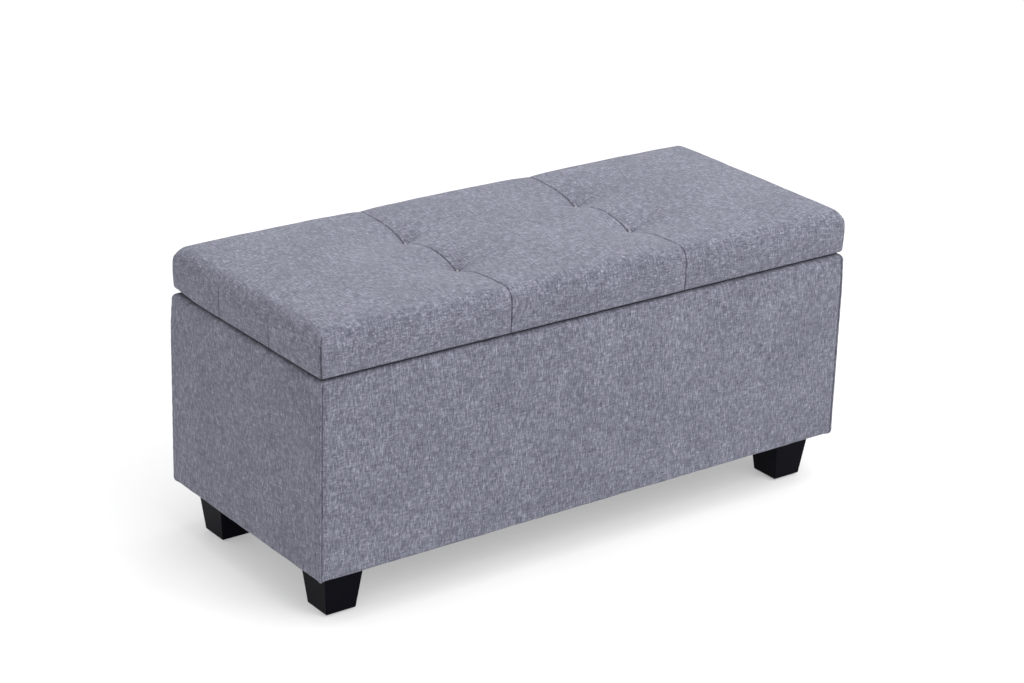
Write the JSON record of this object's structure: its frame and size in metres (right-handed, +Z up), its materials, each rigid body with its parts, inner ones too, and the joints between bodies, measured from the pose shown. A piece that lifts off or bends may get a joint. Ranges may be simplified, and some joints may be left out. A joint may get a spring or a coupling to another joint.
{
  "type": "storage bench",
  "caption": "Long upholstered storage bench on tapered block legs, with a tufted padded lid that swings up on back hinges held by gas struts.",
  "frame": {"origin": "on the floor, under the middle of the bench", "axes": "+X along the bench to the right seen from the front, +Y to the back where the hinges are, +Z up"},
  "size_m": [0.915, 0.385, 0.436],
  "materials": {
    "cover_fabric": "matte",
    "foam": "matte",
    "board": "matte",
    "lining_cloth": "matte",
    "twine": "matte",
    "leg_plastic": "satin",
    "glide_plastic": "matte",
    "rubber": "matte",
    "zinc_steel": "satin",
    "strut_paint": "satin",
    "chromed_rod": "polished"
  },
  "bodies": {
    "box": {"front_cover": "cover_fabric", "back_cover": "cover_fabric", "left_end_cover": "cover_fabric", "right_end_cover": "cover_fabric", "front_foam": "foam", "back_foam": "foam", "left_end_foam": "foam", "right_end_foam": "foam", "front_board": "board", "back_board": "board", "left_end_board": "board", "right_end_board": "board", "floor_board": "board", "glue_block_front_left": "board", "glue_block_front_right": "board", "glue_block_back_left": "board", "glue_block_back_right": "board", "box_lining": "lining_cloth", "dust_cover": "lining_cloth", "leg_front_left": "leg_plastic", "leg_front_right": "leg_plastic", "leg_back_left": "leg_plastic", "leg_back_right": "leg_plastic", "leg_glide_front_left": "glide_plastic", "leg_glide_front_right": "glide_plastic", "leg_glide_back_left": "glide_plastic", "leg_glide_back_right": "glide_plastic", "bumper_left": "rubber", "bumper_right": "rubber", "leg_bolt_front_left": "zinc_steel", "leg_bolt_front_right": "zinc_steel", "leg_bolt_back_left": "zinc_steel", "leg_bolt_back_right": "zinc_steel", "leg_nut_front_left": "zinc_steel", "leg_nut_front_right": "zinc_steel", "leg_nut_back_left": "zinc_steel", "leg_nut_back_right": "zinc_steel", "hinge_box_leaf_left": "zinc_steel", "hinge_box_leaf_right": "zinc_steel", "hinge_pin_left": "zinc_steel", "hinge_pin_right": "zinc_steel", "strut_box_bracket_left": "zinc_steel", "strut_box_bracket_right": "zinc_steel"},
    "lid": {"lid_cover": "cover_fabric", "lid_foam": "foam", "lid_board": "board", "lid_lining": "lining_cloth", "hinge_lid_leaf_left": "zinc_steel", "hinge_lid_leaf_right": "zinc_steel", "strut_lid_bracket_left": "zinc_steel", "strut_lid_bracket_right": "zinc_steel", "tuft_tie_front_left": "twine", "tuft_tie_front_right": "twine", "tuft_tie_back_left": "twine", "tuft_tie_back_right": "twine"},
    "strut_tube_left": {"strut_tube_left": "strut_paint"},
    "strut_tube_right": {"strut_tube_right": "strut_paint"},
    "strut_rod_left": {"strut_rod_left": "chromed_rod"},
    "strut_rod_right": {"strut_rod_right": "chromed_rod"}
  },
  "joints": [
    {"name": "lid_hinge", "type": "hinge", "parent": "box", "child": "lid", "pos_m": [0, 0.1885, 0.3661], "axis": [-1, 0, 0], "range_deg": [0, 90]},
    {"name": "strut_tube_left_pivot", "type": "hinge", "parent": "lid", "child": "strut_tube_left", "pos_m": [-0.421, 0.00918, 0.35041], "axis": [-1, 0, 0], "range_deg": [-45, 0]},
    {"name": "strut_rod_left_pivot", "type": "hinge", "parent": "box", "child": "strut_rod_left", "pos_m": [-0.421, 0.1418, 0.19226], "axis": [-1, 0, 0], "range_deg": [0, 45]},
    {"name": "strut_tube_right_pivot", "type": "hinge", "parent": "lid", "child": "strut_tube_right", "pos_m": [0.421, 0.00918, 0.35041], "axis": [-1, 0, 0], "range_deg": [-45, 0]},
    {"name": "strut_rod_right_pivot", "type": "hinge", "parent": "box", "child": "strut_rod_right", "pos_m": [0.421, 0.1418, 0.19226], "axis": [-1, 0, 0], "range_deg": [0, 45]}
  ],
  "couplings": [
    {"joint": "strut_tube_left_pivot", "follows": "lid_hinge", "ratio": -0.5},
    {"joint": "strut_rod_left_pivot", "follows": "lid_hinge", "ratio": 0.5},
    {"joint": "strut_tube_right_pivot", "follows": "lid_hinge", "ratio": -0.5},
    {"joint": "strut_rod_right_pivot", "follows": "lid_hinge", "ratio": 0.5}
  ]
}
